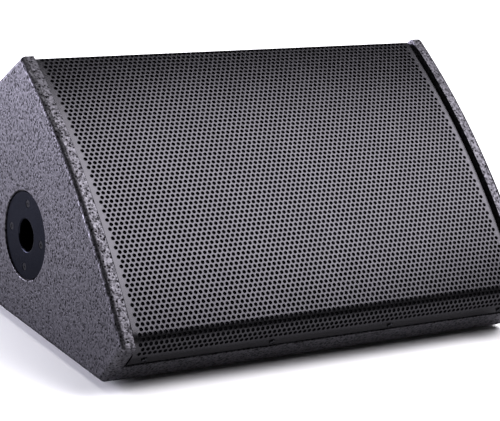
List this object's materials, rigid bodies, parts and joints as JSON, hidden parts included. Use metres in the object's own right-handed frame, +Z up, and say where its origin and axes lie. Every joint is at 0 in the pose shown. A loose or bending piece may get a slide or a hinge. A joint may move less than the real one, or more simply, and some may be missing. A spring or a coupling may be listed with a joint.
{
  "type": "stage monitor wedge",
  "caption": "Wedge-shaped floor loudspeaker with a curved perforated grille, a pole cup in one side, a bar handle in the other and a recessed connector dish.",
  "frame": {"origin": "middle of the footprint, at the underside of the rubber feet", "axes": "+X across to the side with the handle, +Y from the grille to the connectors, +Z up"},
  "size_m": [0.562, 0.4202, 0.3095],
  "materials": {
    "cabinet_paint": "textured polyurethane paint on birch plywood",
    "raw_plywood": "thin black stain on birch plywood",
    "grille_steel": "satin dark grey powder coat",
    "acoustic_foam": "matt open-cell foam",
    "black_screws": "black zinc",
    "cup_metal": "satin black anodised",
    "dish_steel": "fine black powder coat",
    "bar_steel": "brushed",
    "grip_rubber": "matt moulded",
    "socket_plastic": "moulded",
    "switch_plastic": "moulded",
    "knob_plastic": "moulded",
    "foot_rubber": "matt moulded",
    "basket_alloy": "black powder coat on cast alloy",
    "gasket_rubber": "matt",
    "surround_cloth": "doped cloth",
    "cone_paper": "pressed paper",
    "cap_paper": "pressed paper",
    "coil_copper": "enamelled copper",
    "spider_cloth": "resin-stiffened cloth",
    "motor_steel": "black passivated steel",
    "magnet_nickel": "nickel plate",
    "terminal_plastic": "moulded",
    "horn_plastic": "moulded",
    "driver_paint": "black paint",
    "driver_cover_plastic": "moulded",
    "dome_titanium": "thin formed sheet",
    "port_plastic": "moulded",
    "board_laminate": "lacquered laminate",
    "post_nylon": "nylon",
    "capacitor_film": "taped film roll",
    "resistor_ceramic": "ceramic",
    "wadding_fibre": "polyester wadding",
    "lead_sheath": "soft sheath"
  },
  "bodies": {
    "cabinet": {"left_side_panel": "cabinet_paint", "right_side_panel": "cabinet_paint", "base_panel": "cabinet_paint", "rear_panel": "cabinet_paint", "top_panel": "cabinet_paint", "ridge_rail": "cabinet_paint", "front_rail": "cabinet_paint", "baffle_board": "raw_plywood", "baffle_cleats": "raw_plywood", "grille": "grille_steel", "grille_foam": "acoustic_foam", "grille_lip_screws": "black_screws", "grille_top_screws": "black_screws", "pole_cup": "cup_metal", "pole_cup_screws": "black_screws", "handle_dish": "dish_steel", "handle_bar": "bar_steel", "handle_grip": "grip_rubber", "handle_screws": "black_screws", "connector_dish": "dish_steel", "connector_dish_screws": "black_screws", "input_socket": "socket_plastic", "link_socket": "socket_plastic", "socket_screws": "black_screws", "mode_switch_body": "switch_plastic", "foot_front_left": "foot_rubber", "foot_front_right": "foot_rubber", "foot_rear_left": "foot_rubber", "foot_rear_right": "foot_rubber", "foot_screws": "black_screws", "woofer_frame": "basket_alloy", "woofer_gasket": "gasket_rubber", "woofer_screws": "black_screws", "woofer_surround": "surround_cloth", "woofer_spider": "spider_cloth", "woofer_top_plate": "motor_steel", "woofer_magnet": "magnet_nickel", "woofer_back_pot": "motor_steel", "woofer_terminals": "terminal_plastic", "horn": "horn_plastic", "horn_screws": "black_screws", "compression_driver": "driver_paint", "driver_rear_cover": "driver_cover_plastic", "phase_plug": "horn_plastic", "port_tube_inner": "port_plastic", "port_tube_outer": "port_plastic", "crossover_board": "board_laminate", "board_standoffs": "post_nylon", "crossover_coils": "coil_copper", "crossover_capacitors": "capacitor_film", "crossover_resistors": "resistor_ceramic", "wadding": "wadding_fibre", "input_wires": "lead_sheath", "woofer_wires": "lead_sheath", "hf_wires": "lead_sheath"},
    "cone_assembly": {"woofer_cone": "cone_paper", "woofer_dust_cap": "cap_paper", "woofer_voice_coil": "coil_copper"},
    "hf_dome": {"hf_diaphragm": "dome_titanium"},
    "mode_knob": {"mode_switch_slider": "knob_plastic"}
  },
  "joints": [
    {"name": "cone_travel", "type": "slide", "parent": "cabinet", "child": "cone_assembly", "axis": [0, -0.6811, 0.7322], "range_m": [-0.005, 0.005], "stiffness_N_per_m": 5000, "deforming": ["woofer_surround", "woofer_spider"]},
    {"name": "dome_travel", "type": "slide", "parent": "cabinet", "child": "hf_dome", "axis": [0, -0.6811, 0.7322], "range_m": [-0.0003, 0.0003], "stiffness_N_per_m": 3000},
    {"name": "mode_slide", "type": "slide", "parent": "cabinet", "child": "mode_knob", "axis": [-1, 0, 0], "range_m": [0, 0.005]}
  ]
}
